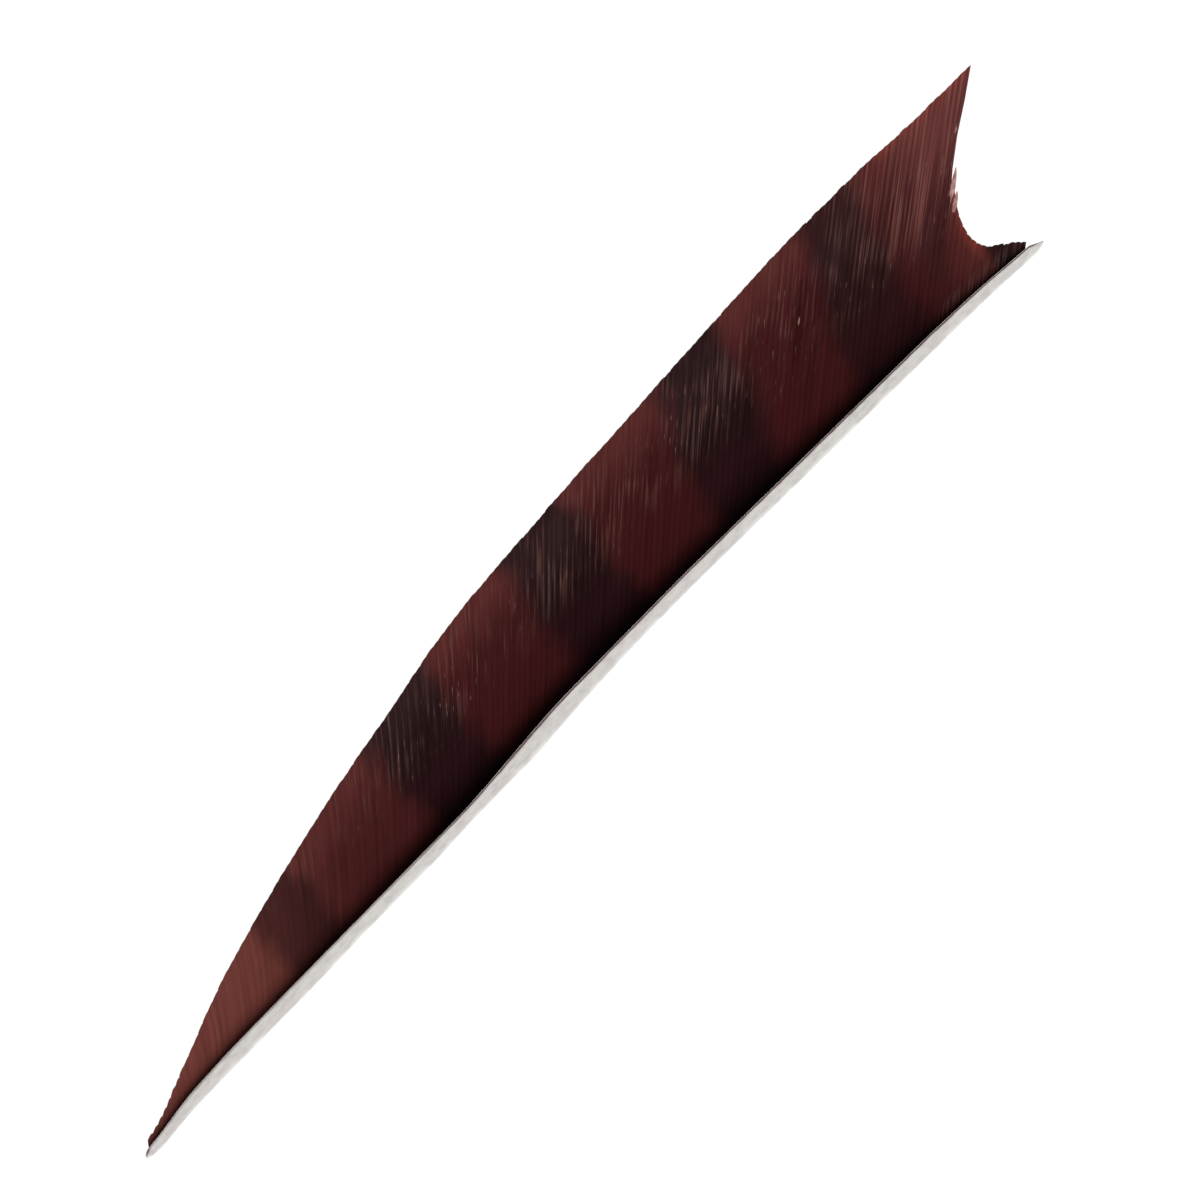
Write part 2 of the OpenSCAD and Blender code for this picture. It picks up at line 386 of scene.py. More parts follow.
# %% Lay one barb
def lay_barb(bm, verts, root, tall, nature):
    """Move the vertices of a straight barb to their places on the sheet."""
    lay = bm.loops.layers.uv["lay"]
    layers = {name: bm.verts.layers.float[name] for name in ("rib", "to_cut", "shade")}
    half = PITCH / 2 + OVERLAP
    reach_at = {}
    for vert in verts:
        across, share, level = vert.co
        worn = min(1, share * nature["reach"] / VANE_HEIGHT)
        top = level > 0
        # Towards the tip the rib narrows to half, while the web keeps its width.
        spread = across * (1 - worn / 2) if top and abs(across) < WEB_EDGE else across
        if nature["worn_edge"] and spread > 0:
            rise = share * nature["reach"]
            wear = ease((rise - WEAR_START) / (WEAR_FULL - WEAR_START))
            wear *= ease((WEAR_END - rise) / (WEAR_END - WEAR_FADES))
            spread -= EDGE_WEAR / half * wear
        foot = root + spread * half
        key = round(max(-DIE_REACH, min(DIE_REACH, foot - root)), 3)
        if key not in reach_at:
            reach_at[key] = cut_height(root + key, tall)
        reach = max(NARROWEST_REACH, reach_at[key] - nature["short"] * ease(reach_at[key]))
        toothed = ease((TEETH_START - root) / (TEETH_START - TEETH_FULL))
        tooth = END_NOTCH * (1 + FRONT_TEETH * toothed)
        # The web's two edges end lower than the rib, which fades quickly down the barb.
        notch = min(tooth, reach / 3) * spread * spread * share ** NOTCH_FADE
        h = share * reach - notch
        depth = RIB_DEPTH + (RIB_TIP_DEPTH - RIB_DEPTH) * math.sqrt(worn)
        crown = max(0, 1 - (abs(across) / RIB_SPREAD) ** 2) if top else 0
        rise = WEB * level + depth * crown + (SHINGLE + nature["roll"] * share) * spread
        x = foot + travel(foot, h) + tuft_sway(foot, h)
        y = root_y(foot) + h
        z = sheet_z(foot, h) + rise + nature["lift"] * ease(h / LIFT_GROWTH)
        vert.co = (x * MM, y * MM, z * MM)
        vert[layers["rib"]] = crown
        vert[layers["to_cut"]] = reach - h
        vert[layers["shade"]] = nature["shade"]
        for loop in vert.link_loops:
            loop[lay].uv = (foot / LAY_LENGTH + 0.5, h / LAY_HEIGHT)


print("a barb is laid in steps of", STEP_HEIGHT, "mm")

# %% [markdown]
# ## Runs of barbs
#
# The frame holds the barbs in runs of five or six neighbours. Each run becomes one piece with the
# same barbs, so a piece can stand for its solid. The barbs are counted from the last one ahead of
# the tall corner, as in the solids.

# %% Count the barbs
RUNS = sum(name.startswith("barbs_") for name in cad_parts)
FIRST_ROOT, LAST_ROOT = 0.35, 0.3
tall_root = horn_root - PITCH / 2
tall_count = math.floor((tall_root - FRONT - NOSE_TOP_ROUND - FIRST_ROOT) / PITCH) + 1
short_count = math.floor((REAR - REAR_SLANT - LAST_ROOT - tall_root) / PITCH)
barb_count = tall_count + short_count


def barb_root(i):
    """Root of barb i along the base."""
    return tall_root + (i + 1 - tall_count) * PITCH


def run_start(run):
    """Number of the first barb of a run."""
    return (run - 1) * barb_count // RUNS


print("barbs:", barb_count, "in", RUNS, "runs;", tall_count, "reach the top of the cut")

# %% The nature of each barb
CUT_SHORT = (0, 0.07)
LIFT = (-0.012, 0.018)
ROLL = (-0.016, 0.016)
draw = random.Random(41)


def barb_nature(root, tall):
    """Draw what sets one barb apart from its neighbours."""
    return {
        "reach": cut_height(root, tall),
        "short": draw.uniform(*CUT_SHORT),
        "lift": draw.uniform(*LIFT),
        "roll": draw.uniform(*ROLL),
        "shade": draw.random(),
        "worn_edge": False,
    }


print("a barb is lifted by", LIFT[0], "to", LIFT[1], "mm")

# %% [markdown]
# ## From a bmesh to an object
#
# A bmesh is only a sketch until it is written into a mesh and an object shows that mesh. The object
# stays at the origin, because its place is in its vertices. It is shaded smooth, and edges sharper
# than the angle below stay crisp, as at the cut ends of the barbs.

# %% Helper for finished pieces
SHARP_ANGLE = 50


def mesh_piece(bm, name):
    """Turn a finished bmesh into an object at the origin, smooth but for its sharp edges."""
    mesh = bpy.data.meshes.new(name)
    bm.to_mesh(mesh)
    bm.free()
    mesh.shade_smooth()
    mesh.set_sharp_from_angle(angle=math.radians(SHARP_ANGLE))
    piece = bpy.data.objects.new(name, mesh)
    bpy.context.scene.collection.objects.link(piece)
    return piece


print("edges over", SHARP_ANGLE, "degrees stay sharp")

# %% [markdown]
# ## Laying the vane
#
# Now every barb of every run is extruded and laid, from the nose to the nock end. A barb that the
# die leaves shorter than a crumb is left out. Each run rides the one body of the feather and takes
# the place of its plain solid.

# %% Build the runs
SHORTEST = 0.12
vane_runs = []
for run in range(1, RUNS + 1):
    bm = bmesh.new()
    bm.loops.layers.uv.new("lay")
    for layer in ("rib", "to_cut", "shade"):
        bm.verts.layers.float.new(layer)
    for i in range(run_start(run), run_start(run + 1)):
        root, tall = barb_root(i), i < tall_count
        nature = barb_nature(root, tall)
        nature["worn_edge"] = i == tall_count - 1
        if min(cut_height(root - PITCH / 2, tall), cut_height(root + PITCH / 2, tall)) > SHORTEST:
            steps = max(3, math.ceil(nature["reach"] / STEP_HEIGHT))
            lay_barb(bm, straight_barb(bm, steps), root, tall, nature)
    piece = mesh_piece(bm, f"vane_run_{run:02d}")
    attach(piece, "root")
    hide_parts(f"barbs_{run:02d}")
    vane_runs.append(piece)
print("faces in the vane:", sum(len(piece.data.polygons) for piece in vane_runs))

# %% [markdown]
# ## Frays
#
# Below the tall corner, on the flank of the hollow, a few strips of bare web have torn loose and
# stand out past the die's line. Each is a short straight barb with no rib, laid along the same lines
# as its neighbours and drawn to a point.

# %% Frays below the corner
# Each fray: where it starts, how long it is and how wide.
FRAYS = [
    (47.6, 6.5, 3.3, 0.62), (47.25, 5.8, 2.1, 0.54), (51.9, 10.2, 1.0, 0.26),
]
FRAY_STEPS = 5
FRAY_LIFT = 0.05
FRAY_BUTT, FRAY_POINT = 0.12, 0.98
FRAY_FULLNESS = 0.6


def lay_fray(bm, start, length, width):
    """A pointed strip that starts at a place and follows the lines of the barbs."""
    root = root_reaching(*start)
    low = start[1] - root_y(root)
    for vert in straight_barb(bm, FRAY_STEPS):
        across, share, level = vert.co
        swing = FRAY_BUTT + share * (FRAY_POINT - FRAY_BUTT)
        slim = math.sin(math.pi * swing) ** FRAY_FULLNESS
        foot = root + across * slim * width / 2
        h = low + share * length * math.sin(math.radians(TIP_ANGLES[1]))
        lift = FRAY_LIFT * math.sin(math.pi * share)
        vert.co = (
            (foot + travel(foot, h)) * MM,
            (root_y(foot) + h) * MM,
            (sheet_z(foot, h) + lift + level * WEB / 2) * MM,
        )


bm = bmesh.new()
for x, y, length, width in FRAYS:
    lay_fray(bm, (x, y), length, width)
frays = mesh_piece(bm, "frays")
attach(frays, "root")
print("frays:", len(FRAYS))

# %% [markdown]
# ## The ground base
#
# The base is four pieces of the split shaft: two skins of horn on the ground sides, the soft pith
# between them, and the side wall that carries the barbs. Each is a block whose edges the sanding
# has broken. A cube is scaled to size, its edges bevelled, cut into many short lengths, and then
# bent along the bow. Its surface gets the small unevenness of hand grinding.

# %% Strips of the base
# The grinder left the foot of the base fuller in two places and short in one. Each is a depth, and
# the places along the base where it starts, is full, begins to fade and ends.
FOOT_SWELLS = [
    (0.08, -48, -45, -31, -26), (0.33, -11, -6, -6, 7), (-0.12, -18, -14, -14, -10),
]
# The hand grinding: how fine it is along, up and across a strip.
WANDER_GRAIN = (0.9, 2, 2)
CHIPPING, CHIP_GRAIN = 1.5, 1.7
FACE_GRAIN = (0.6, 3)
CHIP_LAYER, FACE_LAYER = 3, 5
STRIP_CUTS = 200
NOSE_CUTS = 5


def foot_swell(x):
    """How far the foot of the base stands below its even grind at x."""
    return sum(depth * ease((x - start) / (full - start)) * ease((end - x) / (end - fades))
               for depth, start, full, fades, end in FOOT_SWELLS)


def ground_strip(name, shares, levels, edge, unevenness):
    """A bevelled block between two shares of the height and two levels, bent along the bow."""
    tall, wide = (shares[1] - shares[0]) * BASE_HEIGHT, levels[1] - levels[0]
    bm = bmesh.new()
    bmesh.ops.create_cube(bm, size=1)
    bmesh.ops.translate(bm, verts=bm.verts, vec=(0.5, 0.5, 0.5))
    bmesh.ops.scale(bm, verts=bm.verts, vec=(LENGTH, tall, wide))
    bmesh.ops.bevel(bm, geom=bm.edges, offset=edge, segments=2, profile=0.5, affect="EDGES",
                    material=-1)
    for axis, cuts in ((0, STRIP_CUTS), (1, NOSE_CUTS)):
        size = (LENGTH, tall)[axis]
        crossing = [e for e in bm.edges
                    if abs(e.verts[0].co[axis] - e.verts[1].co[axis]) > size / 2]
        bmesh.ops.subdivide_edges(bm, edges=crossing, cuts=cuts, use_grid_fill=True)
    grain = bm.loops.layers.uv.new("grain")
    for vert in bm.verts:
        along, up, level = vert.co
        share = shares[0] + up / BASE_HEIGHT
        start, end = nose_x(share), tail_x(share)
        x = start + (end - start) * along / LENGTH
        wander = unevenness * noise.noise(vert.co * Vector(WANDER_GRAIN))
        chipping = noise.noise(Vector((along * CHIP_GRAIN, CHIP_LAYER, level)))
        chipped = CHIPPING * unevenness * chipping
        swell = foot_swell(x) * max(0, 1 - share)
        y = bow(x) + share * quill_height(x) - swell + (wander if up > tall / 2 else chipped)
        place = Vector((along * FACE_GRAIN[0], up * FACE_GRAIN[1], FACE_LAYER))
        z = max(levels[0] + level + unevenness / 2 * noise.noise(place), -HALF_WIDTH)
        vert.co = (x * MM, y * MM, z * MM)
        for loop in vert.link_loops:
            loop[grain].uv = (along / LENGTH, share)
    return mesh_piece(bm, name)


inner = HALF_WIDTH - SKIN
# Each strip: its shares of the height, its levels, the width of its broken edges, its unevenness.
quill_pieces = {
    "pith_core": ground_strip("pith", (0, WALL_SHARE), (-inner, inner), 0.03, 0.02),
    "dorsal_cortex": ground_strip("outer_horn", (0, 1), (-HALF_WIDTH, -inner), 0.05, 0.012),
    "ventral_cortex": ground_strip("upper_horn", (0, 1), (inner, HALF_WIDTH), 0.05, 0.02),
    "barb_wall": ground_strip("side_wall", (WALL_SHARE, 1), (-inner, inner), 0.03, 0.01),
}
for node, piece in quill_pieces.items():
    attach(piece, "root")
    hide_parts(node)
    print(piece.name, "has", len(piece.data.polygons), "faces")

# %% [markdown]
# ## Tools for the finishes
#
# A finish is a small tree of nodes. These short helpers add a node, wire it and give back its
# output, so a recipe can be read from top to bottom. Colours are mixed on a screen, so they
# are written as screen values and turned into the linear ones that the renderer needs.


# %% Helpers for node trees
def screen(red, green, blue):
    """Linear colour of a screen colour given from 0 to 255."""
    values = [c / 255 for c in (red, green, blue)]
    return [v / 12.92 if v <= 0.04045 else ((v + 0.055) / 1.055) ** 2.4 for v in values] + [1]


class Finish:
    """A material and the few node recipes that its surface needs."""

    def __init__(self, name):
        self.material = bpy.data.materials.new(name)
        self.material.use_nodes = True
        self.tree = self.material.node_tree
        self.shader = self.tree.nodes["Principled BSDF"]

    def feed(self, socket, value):
        """Wire a socket to a node's output, or set it to a plain value."""
        if isinstance(value, bpy.types.NodeSocket):
            self.tree.links.new(value, socket)
        else:
            socket.default_value = value

    def math(self, operation, *values):
        """One sum. A missing value stays 0.5, as Blender has it."""
        node = self.tree.nodes.new("ShaderNodeMath")
        node.operation = operation
        for socket, value in zip(node.inputs, values):
            self.feed(socket, value)
        return node.outputs[0]

    def span(self, value, start, end, low=0.0, high=1.0):
        """Ease from low to high while the value goes from start to end."""
        node = self.tree.nodes.new("ShaderNodeMapRange")
        node.interpolation_type = "SMOOTHSTEP"
        for socket, given in zip(node.inputs, (value, start, end, low, high)):
            self.feed(socket, given)
        return node.outputs[0]

    def product(self, first, *others):
        """All the values multiplied together."""
        for other in others:
            first = self.math("MULTIPLY", first, other)
        return first

    def total(self, first, *others):
        """The sum of all the values."""
        for other in others:
            first = self.math("ADD", first, other)
        return first

    def mix(self, share, first, second, blend="MIX"):
        """Blend two colours by a share."""
        node = self.tree.nodes.new("ShaderNodeMix")
        node.data_type = "RGBA"
        node.blend_type = blend
        self.feed(node.inputs["Factor"], share)
        self.feed(node.inputs[6], first)
        self.feed(node.inputs[7], second)
        return node.outputs[2]

    def noise(self, place, scale, detail=2.0, stretch=(1, 1, 1)):
        """Cloudy pattern from 0 to 1 at a place, finer along the axes that are stretched."""
        mapping = self.tree.nodes.new("ShaderNodeMapping")
        mapping.inputs["Scale"].default_value = stretch
        self.feed(mapping.inputs["Vector"], place)
        node = self.tree.nodes.new("ShaderNodeTexNoise")
        node.inputs["Scale"].default_value = scale
        node.inputs["Detail"].default_value = detail
        self.feed(node.inputs["Vector"], mapping.outputs[0])
        return node.outputs[0]

    def stops(self, value, places):
        """Grey ramp through (place, height) stops."""
        node = self.tree.nodes.new("ShaderNodeValToRGB")
        marks = node.color_ramp.elements
        while len(marks) < len(places):
            marks.new(1)
        for mark, (place, height) in zip(marks, places):
            mark.position = place
            mark.color = (height, height, height, 1)
        self.feed(node.inputs[0], value)
        return node.outputs[0]

    def place(self):
        """The point's own place as (vector, x, y, z) in millimetres."""
        coordinates = self.tree.nodes.new("ShaderNodeTexCoord")
        scaled = self.tree.nodes.new("ShaderNodeVectorMath")
        scaled.operation = "SCALE"
        self.feed(scaled.inputs[0], coordinates.outputs["Object"])
        scaled.inputs["Scale"].default_value = 1 / MM
        split = self.tree.nodes.new("ShaderNodeSeparateXYZ")
        self.feed(split.inputs[0], scaled.outputs[0])
        return scaled.outputs[0], *split.outputs

    def uv(self, name):
        """The vector and both numbers of a UV map."""
        node = self.tree.nodes.new("ShaderNodeUVMap")
        node.uv_map = name
        split = self.tree.nodes.new("ShaderNodeSeparateXYZ")
        self.feed(split.inputs[0], node.outputs[0])
        return node.outputs[0], split.outputs[0], split.outputs[1]

    def attribute(self, name):
        """A number that the mesh carries."""
        node = self.tree.nodes.new("ShaderNodeAttribute")
        node.attribute_name = name
        return node.outputs["Fac"]

    def bump(self, height, distance, strength):
        """Raise the surface by a pattern of so many metres."""
        node = self.tree.nodes.new("ShaderNodeBump")
        node.inputs["Distance"].default_value = distance
        node.inputs["Strength"].default_value = strength
        self.feed(node.inputs["Height"], height)
        self.feed(self.shader.inputs["Normal"], node.outputs[0])


print("screen white is", screen(255, 255, 255))

# %% [markdown]
# ## Dark bars under the dye
#
# The dye is mahogany, and the feather's own dark bars show through it. Each bar rises from the base.
# The rear ones lean, and above half height most of them are swept to one side. A bar's edge steps
# from barb to barb, so its place is shifted by each barb's own shade number, and a cloud of noise
# makes it wavy. A colour ramp with four stops for each bar turns that place into dark and light.

# %% The bars of the vane
# Each bar: where it starts and ends along the base, and how dark it is.
BARS = [
    (-32.2, -26.4, 0.8), (-15.9, -8.2, 1.0), (1.2, 8.8, 1.0), (17.3, 24.2, 1.0),
    (32.4, 40.2, 0.88),
]
BAR_SOFTNESS = 0.9
BAR_RANGE = (-55.0, 60.0)
BAR_LEAN = 0.34
LEAN_FOOT = 2
BAR_STEP = 0.7
BAR_WAVE = 2.4
# Each sweep: how far it moves the bars, and where it starts, is full, begins to fade and ends.
SWEEPS = [(0.9, -4, 1, 23.5, 26.5), (1.3, 31, 34, 38, 41), (-0.6, 40, 42, 60, 61)]
SWEEP_HEIGHTS = (6.5, 9.5)

vane = Finish("dyed_barred_vane")
point, x_mm, y_mm = vane.place()[:3]
lay_vector, lay_u, lay_v = vane.uv("lay")
foot = vane.product(vane.math("SUBTRACT", lay_u, 0.5), LAY_LENGTH)
rise = vane.product(lay_v, LAY_HEIGHT)
rib = vane.attribute("rib")
shade = vane.attribute("shade")
to_cut = vane.attribute("to_cut")

lean = vane.product(vane.span(x_mm, 12, 26, 0, BAR_LEAN), vane.math("SUBTRACT", y_mm, LEAN_FOOT))
step = vane.product(vane.math("SUBTRACT", shade, 0.5), BAR_STEP)
cloud = vane.noise(point, 0.35, 3)
wave = vane.product(vane.math("SUBTRACT", cloud, 0.5), BAR_WAVE)
sweep = 0.0
for shift, start, full, fades, end in SWEEPS:
    comes = vane.span(x_mm, start, full, 0, shift)
    sweep = vane.total(sweep, vane.product(comes, vane.span(x_mm, end, fades)))
sweep = vane.product(sweep, vane.span(y_mm, *SWEEP_HEIGHTS))
shifted = vane.math("SUBTRACT", vane.math("SUBTRACT", x_mm, lean), sweep)
from_start = vane.math("SUBTRACT", vane.total(shifted, step, wave), BAR_RANGE[0])
bar_place = vane.math("DIVIDE", from_start, BAR_RANGE[1] - BAR_RANGE[0])

bar_stops = [(0.0, 0.0)]
for start, end, strength in BARS:
    for edge, height in ((start - BAR_SOFTNESS, 0), (start + BAR_SOFTNESS, strength),
                         (end - BAR_SOFTNESS, strength), (end + BAR_SOFTNESS, 0)):
        bar_stops.append(((edge - BAR_RANGE[0]) / (BAR_RANGE[1] - BAR_RANGE[0]), height))
lip_patch = vane.product(vane.span(x_mm, 46.4, 47.7), vane.span(y_mm, 3.0, 2.0))
bars = vane.math("MAXIMUM", vane.stops(bar_place, bar_stops), lip_patch)
print("bars:", len(BARS), "stops:", len(bar_stops))

# %% [markdown]
# ## The dye
#
# The brown is reddest in the middle. It is paler at the front, at the tall rear corner and along
# the cut. This is partly because the web is thin there, and partly painted light where the sheet
# tilts towards the lamp. At the front the dark of the bars is painted paler in the same way. The
# dark of the bars also changes a little as they rise. The rim of the hollow cut has caught more red,
# and the lip below it is nearly black.

# %% Colours of the dye
# Painted light, with thin web: these three masks make the vane paler where its sheet tilts towards
# the lamp.
thin_and_lit_cut = vane.span(to_cut, 4.2, 0.0)
thin_and_lit_front = vane.span(x_mm, -22, -38)
thin_and_lit_corner = vane.product(vane.span(x_mm, 44, 52), vane.span(rise, 3, 12))
at_rim = vane.product(vane.span(to_cut, 0.9, 0.0), vane.span(x_mm, 45.5, 46.5))
brown = vane.mix(vane.span(x_mm, -8, -20), screen(56, 17, 18), screen(63, 23, 23))
brown = vane.mix(vane.span(x_mm, 40, 44), brown, screen(57, 22, 23))
brown = vane.mix(thin_and_lit_cut, brown, screen(78, 34, 32))
brown = vane.mix(thin_and_lit_front, brown, screen(101, 52, 46))
brown = vane.mix(thin_and_lit_corner, brown, screen(92, 47, 45))

# Each dark: the heights between which it takes over from the one below.
DARKS = [
    (1.8, 3.0, (36, 12, 16)), (3.5, 5.5, (30, 10, 12)), (6.5, 9.0, (37, 18, 20)),
    (10.0, 13.0, (31, 10, 11)),
]
dark = screen(30, 8, 11)
for start, end, colour in DARKS:
    dark = vane.mix(vane.span(rise, start, end), dark, screen(*colour))
# Painted light: the bars are paler at the front, where the sheet tilts towards the lamp.
dark = vane.mix(thin_and_lit_front, dark, screen(58, 28, 26))

dyed = vane.mix(bars, brown, dark)
dyed = vane.mix(vane.product(at_rim, 0.68), dyed, screen(116, 50, 42))
dyed = vane.mix(lip_patch, dyed, screen(40, 18, 20))
print("darks up a bar:", len(DARKS) + 1)

# %% [markdown]
# ## Streaks, and painted shade at the roots
#
# Streaks run along the barbs: they are noise in the lay of the barbs, stretched up the V axis. Each
# barb also has its own shade. Close to the base the web lies in a deep fold, and the shade of that
# fold is painted in: the web is darker there, and less so towards both ends, where the fold is
# shallow. All of this is one grey tone that multiplies the dye.

# %% Tone of the vane
ROOT_SHADE_HEIGHT = 2.2
streak = vane.noise(lay_vector, 1.0, 3, stretch=(190, 1.6, 1))
fine_streak = vane.noise(lay_vector, 1.0, 2, stretch=(700, 7, 1))
tone = vane.total(vane.span(streak, 0.3, 0.7, -0.12, 0.12), vane.span(shade, 0, 1, 0.95, 1.05),
                  vane.span(fine_streak, 0.3, 0.7, -0.05, 0.05))
# Painted shade: the roots are darkened as the fold between base and vane would shade them, less at
# both ends.
painted_root_shade = vane.math("MAXIMUM", vane.span(x_mm, -14, -28, 0.35, 0.8),
                      vane.span(x_mm, 28, 42, 0.4, 0.62))
painted_root_shade = vane.total(painted_root_shade, vane.span(x_mm, 47.5, 49.5, 0.0, 0.6))
tone = vane.product(tone, vane.span(rise, 0.0, ROOT_SHADE_HEIGHT, painted_root_shade, 1.0))
toned = vane.mix(1.0, dyed, tone, blend="MULTIPLY")
print("the roots are darker up to", ROOT_SHADE_HEIGHT, "mm")

# %% [markdown]
# ## Painted sheen
#
# High on the vane a dull grey sheen is painted on in soft patches. On the dark bars single ribs
# are painted pale, as highlights. The tall rear corner is streaked most, by long pale and dark
# streaks. Each is a noise in the lay of the barbs, and where it shows is a product of spans.

# %% Painted sheen, painted rib highlights and long streaks
sheen = vane.noise(lay_vector, 1.0, 1, stretch=(430, 5.5, 1))
cloudy_lay = vane.noise(point, 0.33, 1)
upper = vane.product(vane.span(rise, 4.0, 7.5), vane.span(cloudy_lay, 0.38, 0.6, 0.25, 1.0),
                     vane.span(x_mm, -40, -10, 0.4, 1.0), vane.span(rise, 10, 12, 1.0, 0.55))
# Painted highlight: a grey sheen mixed into the colour.
painted_sheen_share = vane.product(vane.span(sheen, 0.5, 0.68), upper, 0.5)
toned = vane.mix(painted_sheen_share, toned, screen(100, 65, 60))

barb_phase = vane.math("DIVIDE", vane.math("SUBTRACT", foot, tall_root), PITCH)
beside_rib = vane.math("PINGPONG", barb_phase, 0.5)
barb_run = vane.noise(lay_vector, 1.0, 1, stretch=(170, 4, 1))
# Painted highlight: pale ribs on the dark bars.
painted_rib_highlight = vane.product(vane.span(beside_rib, 0.24, 0.05), upper, bars,
                        vane.span(barb_run, 0.35, 0.62), 0.5)
toned = vane.mix(painted_rib_highlight, toned, screen(92, 72, 68))

long_streak = vane.noise(lay_vector, 1.0, 1, stretch=(370, 1.8, 1))
on_corner = vane.product(vane.span(x_mm, 38, 46), vane.span(rise, 4, 8), 0.5)
paler = vane.product(vane.span(long_streak, 0.52, 0.66), on_corner)
toned = vane.mix(paler, toned, screen(132, 82, 75))
darker = vane.product(vane.span(long_streak, 0.48, 0.36), on_corner)
toned = vane.mix(darker, toned, screen(62, 24, 24))
print("vane nodes so far:", len(vane.tree.nodes))

# %% [markdown]
# ## Painted glints, and a spot at the crease
#
# Glints on the ribs are painted in short pale dashes. They follow the barbs, and they gather in a
# few places, so two noises are multiplied: a fine one that is long along the barbs, and a coarse one
# that says where the glints gather. A few more painted glints sit at the rear roots. At the crease,
# a small pale spot is a painted glint, and the darker red around it is painted shade.

# %% Painted glints on the ribs
dash = vane.noise(lay_vector, 1.0, 1, stretch=(1100, 26, 1))
glint_cloud = vane.noise(point, 0.11, 1)
# Painted highlight: where the glints gather, high on the vane and back from the cut.
worn = vane.product(vane.span(glint_cloud, 0.42, 0.62), vane.span(rise, 3.5, 6.5),
                    vane.span(to_cut, 0.3, 3.0))
glint = vane.product(vane.span(dash, 0.58, 0.72), worn, vane.span(rib, 0.1, 0.6), 0.7)
final = vane.mix(glint, toned, screen(150, 128, 120))
# Painted highlight: a few glints at the rear roots.
root_glint = vane.product(vane.span(sheen, 0.48, 0.62), vane.span(x_mm, 38, 43),
                          vane.span(rise, 1.4, 0.6), 0.2)
final = vane.mix(root_glint, final, screen(118, 92, 88))
print("vane nodes so far:", len(vane.tree.nodes))

# %% Painted glint and painted shade at the crease
CREASE_SPOT_PLACE = (32.7, 8.7)
CREASE_SPOT_WIDTH, CREASE_SPOT_HEIGHT = 0.15, 0.28
spot_across = vane.math("DIVIDE", vane.math("SUBTRACT", foot, root_reaching(*CREASE_SPOT_PLACE)), CREASE_SPOT_WIDTH)
spot_along = vane.math("DIVIDE", vane.math("SUBTRACT", y_mm, CREASE_SPOT_PLACE[1]), CREASE_SPOT_HEIGHT)
crease_spot = vane.total(vane.math("POWER", spot_across, 2), vane.math("POWER", spot_along, 2))
ragged = vane.product(vane.noise(point, 5.0, 1), 1.2)
# Painted shade: the web around the crease is darkened to a deep red.
final = vane.mix(vane.span(crease_spot, 90.0, 8.0, 0, 0.5), final, screen(50, 13, 13))
# Painted highlight: a small pale glint on the crease.
final = vane.mix(vane.span(vane.total(crease_spot, ragged), 1.6, 0.6, 0, 0.75), final,
                 screen(156, 120, 110))
vane.feed(vane.shader.inputs["Base Color"], final)
print("scar at", CREASE_SPOT_PLACE)

# %% [markdown]
# ## Silk and barbules
#
# A feather has hardly any mirror shine, so the specular level is low, and the streaks vary its
# roughness. Fine barbules stand in a chevron on both sides of each rib. They are far too many to
# model, so a sine wave up the barbs, shifted by the distance from the rib, gives them as bump.

# %% Roughness and bump of the vane
BARBULE_WAVES = 62
BARBULE_SLANT = 7.2
BARBULE_DEPTH = 0.006 * MM
vane.feed(vane.shader.inputs["Roughness"], vane.span(streak, 0.2, 0.8, 0.5, 0.68))
vane.shader.inputs["Specular IOR Level"].default_value = 0.04
chevron = vane.math("SINE", vane.total(vane.product(rise, BARBULE_WAVES),
                                       vane.product(rib, BARBULE_SLANT)))
vane.bump(vane.total(chevron, fine_streak), BARBULE_DEPTH, 0.5)
for piece in vane_runs:
    piece.data.materials.append(vane.material)
print("vane nodes:", len(vane.tree.nodes))

# %% [markdown]
# ## The frays' colour
#
# A fray is web with its dye worn off, so it is a dusty pink with soft clouds and no pattern of its
# own.

# %% The frays' finish
bare = Finish("bare_web")
point = bare.place()[0]
torn = bare.mix(bare.span(bare.noise(point, 2.0), 0.35, 0.65), screen(172, 130, 121),
                screen(130, 84, 77))
bare.feed(bare.shader.inputs["Base Color"], torn)
bare.shader.inputs["Roughness"].default_value = 0.6
frays.data.materials.append(bare.material)
print("fray nodes:", len(bare.tree.nodes))

# %% [markdown]
# ## Horn and pith
#
# The skins are horn: off-white, with faint grey clouds and the fine lines of the sanding belt along
# them, and towards the foot patchily lighter and darker. Along the top edge, where the barbs grow, a
# dark brown line is painted shade from the fold between base and vane, and dye has crept into both
# tips. The pith is pale foam whose cells show as tiny pits, painted a little darker as their shade.

# %% The horn's finish
SANDING_DEPTH = 0.02 * MM
horn = Finish("ground_horn")
point, x_mm = horn.place()[:2]
grain_u, grain_v = horn.uv("grain")[1:]
mottle = horn.noise(point, 1.7, 3, stretch=(0.7, 1.6, 1.6))
lines = horn.noise(point, 6.0, 2, stretch=(0.25, 3, 3))
base = horn.mix(horn.span(mottle, 0.35, 0.7), screen(198, 194, 190), screen(184, 179, 176))
base = horn.mix(horn.span(lines, 0.45, 0.7, 0, 0.5), base, screen(206, 203, 199))
# Towards the foot the horn turns patchily lighter and darker.
foot_cloud = horn.noise(point, 0.45, 2)
low_edge = horn.mix(horn.span(foot_cloud, 0.35, 0.65), screen(186, 182, 179), screen(212, 210, 207))
base = horn.mix(horn.span(grain_v, 0.36, 0.06, 0, 0.8), base, low_edge)

